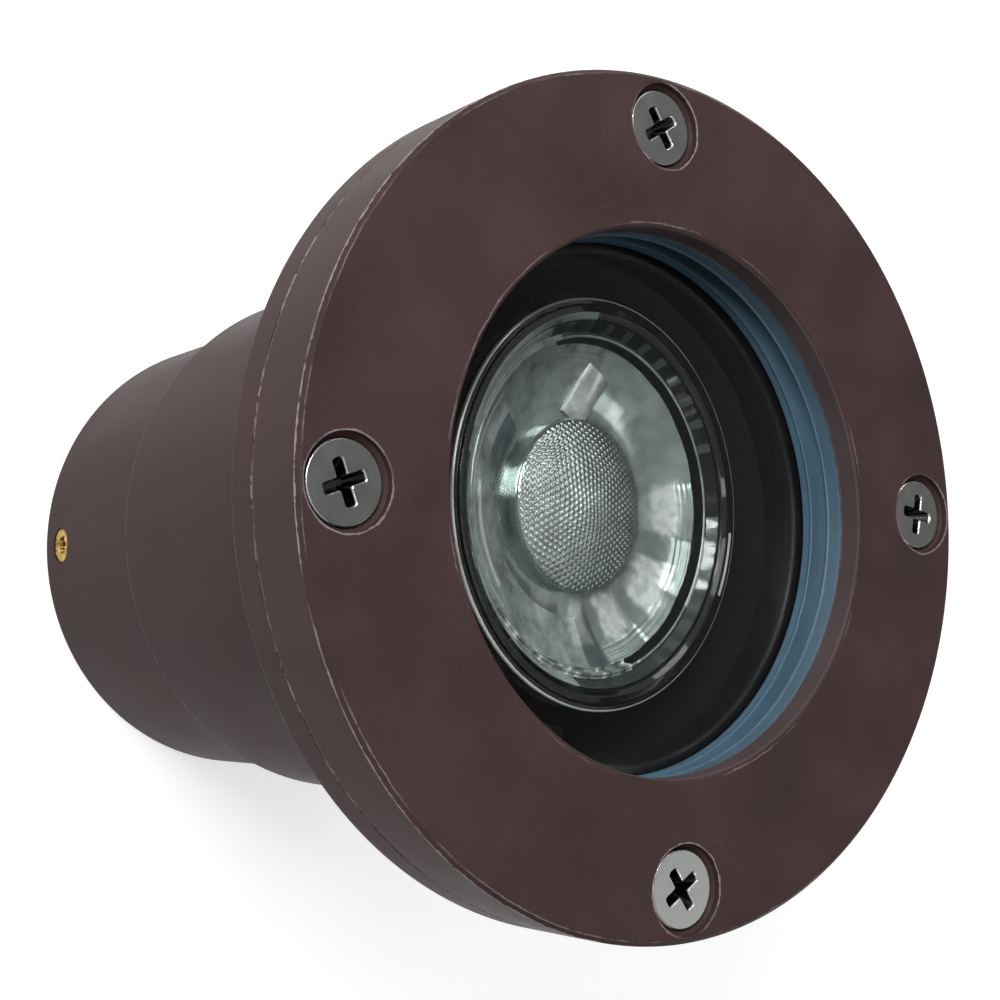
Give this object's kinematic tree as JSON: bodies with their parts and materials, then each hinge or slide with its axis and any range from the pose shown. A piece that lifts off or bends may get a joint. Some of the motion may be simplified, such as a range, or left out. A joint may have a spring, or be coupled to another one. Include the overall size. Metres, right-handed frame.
{
  "type": "in ground well light",
  "caption": "Round well light set in the ground: stepped barrel, thick screwed cover ring, clear lens in a blue gasket, tilting reflector lamp inside.",
  "frame": {"origin": "centre of the flat rear end of the barrel, on the barrel axis", "axes": "+Z along the barrel axis out of the face; +X and +Y through two neighbouring cover screws"},
  "size_m": [0.1, 0.1, 0.103],
  "materials": {
    "bronze": "satin dark bronze paint",
    "black_sleeve": "matte black",
    "gasket_blue": "matte blue silicone",
    "lens_clear": "clear polished",
    "lamp_clear": "clear pressed glass",
    "optic_clear": "clear moulded",
    "screw_nickel": "satin nickel",
    "screw_brass": "raw brass",
    "contact_brass": "plain brass",
    "strap_steel": "blackened steel",
    "bush_nylon": "natural nylon",
    "socket_ceramic": "unglazed ceramic",
    "lead_sleeve": "white silicone sleeving",
    "connector_body": "moulded plastic",
    "seal_black": "black rubber",
    "chip_yellow": "yellow phosphor",
    "board_white": "white solder mask",
    "driver_green": "circuit board",
    "core_aluminium": "plain aluminium"
  },
  "bodies": {
    "housing": {"housing": "bronze", "inner_sleeve": "black_sleeve", "rear_cap": "bronze", "rear_cap_seal": "seal_black", "cable_bush": "seal_black", "rear_set_screws": "screw_brass", "pivot_screws": "strap_steel", "pivot_bushes": "bush_nylon"},
    "lamp_holder": {"lamp_yoke": "strap_steel", "socket_body": "socket_ceramic", "socket_contacts": "contact_brass", "socket_screws": "strap_steel", "socket_lead_a": "lead_sleeve", "socket_lead_b": "lead_sleeve", "wire_connectors": "connector_body"},
    "lamp": {"lamp_glass_cup": "lamp_clear", "lamp_centre_lens": "optic_clear", "lamp_optic": "optic_clear", "lamp_chip": "chip_yellow", "lamp_board": "board_white", "lamp_heat_sink": "core_aluminium", "lamp_driver_board": "driver_green", "lamp_pins": "contact_brass"},
    "lens": {"lens_glass": "lens_clear", "lens_gasket": "gasket_blue"},
    "cover": {"cover_ring": "bronze"},
    "cover_screw_east": {"cover_screw_east": "screw_nickel"},
    "cover_screw_north": {"cover_screw_north": "screw_nickel"},
    "cover_screw_west": {"cover_screw_west": "screw_nickel"},
    "cover_screw_south": {"cover_screw_south": "screw_nickel"}
  },
  "joints": [
    {"name": "cover_lift", "type": "slide", "parent": "housing", "child": "cover", "axis": [0, 0, 1], "range_m": [0, 0.15]},
    {"name": "lens_lift", "type": "slide", "parent": "housing", "child": "lens", "axis": [0, 0, 1], "range_m": [0, 0.105]},
    {"name": "lamp_tilt", "type": "hinge", "parent": "housing", "child": "lamp_holder", "pos_m": [0, 0, 0.072], "axis": [0.2113, 0.9774, 0], "range_deg": [-13.88, 0]},
    {"name": "lamp_unplug", "type": "slide", "parent": "lamp_holder", "child": "lamp", "axis": [0.1181, -0.0255, 0.9927], "range_m": [0, 0.0525]},
    {"name": "screw_east_turn", "type": "hinge", "parent": "cover", "child": "cover_screw_east", "pos_m": [0.04405, 0, 0.0962], "axis": [0, 0, 1], "continuous": true},
    {"name": "screw_north_turn", "type": "hinge", "parent": "cover", "child": "cover_screw_north", "pos_m": [0, 0.04405, 0.0962], "axis": [0, 0, 1], "continuous": true},
    {"name": "screw_west_turn", "type": "hinge", "parent": "cover", "child": "cover_screw_west", "pos_m": [-0.04405, 0, 0.0962], "axis": [0, 0, 1], "continuous": true},
    {"name": "screw_south_turn", "type": "hinge", "parent": "cover", "child": "cover_screw_south", "pos_m": [0, -0.04405, 0.0962], "axis": [0, 0, 1], "continuous": true}
  ],
  "couplings": [
    {"joint": "lens_lift", "follows": "cover_lift", "ratio": 0.7},
    {"joint": "lamp_unplug", "follows": "cover_lift", "ratio": 0.35}
  ]
}
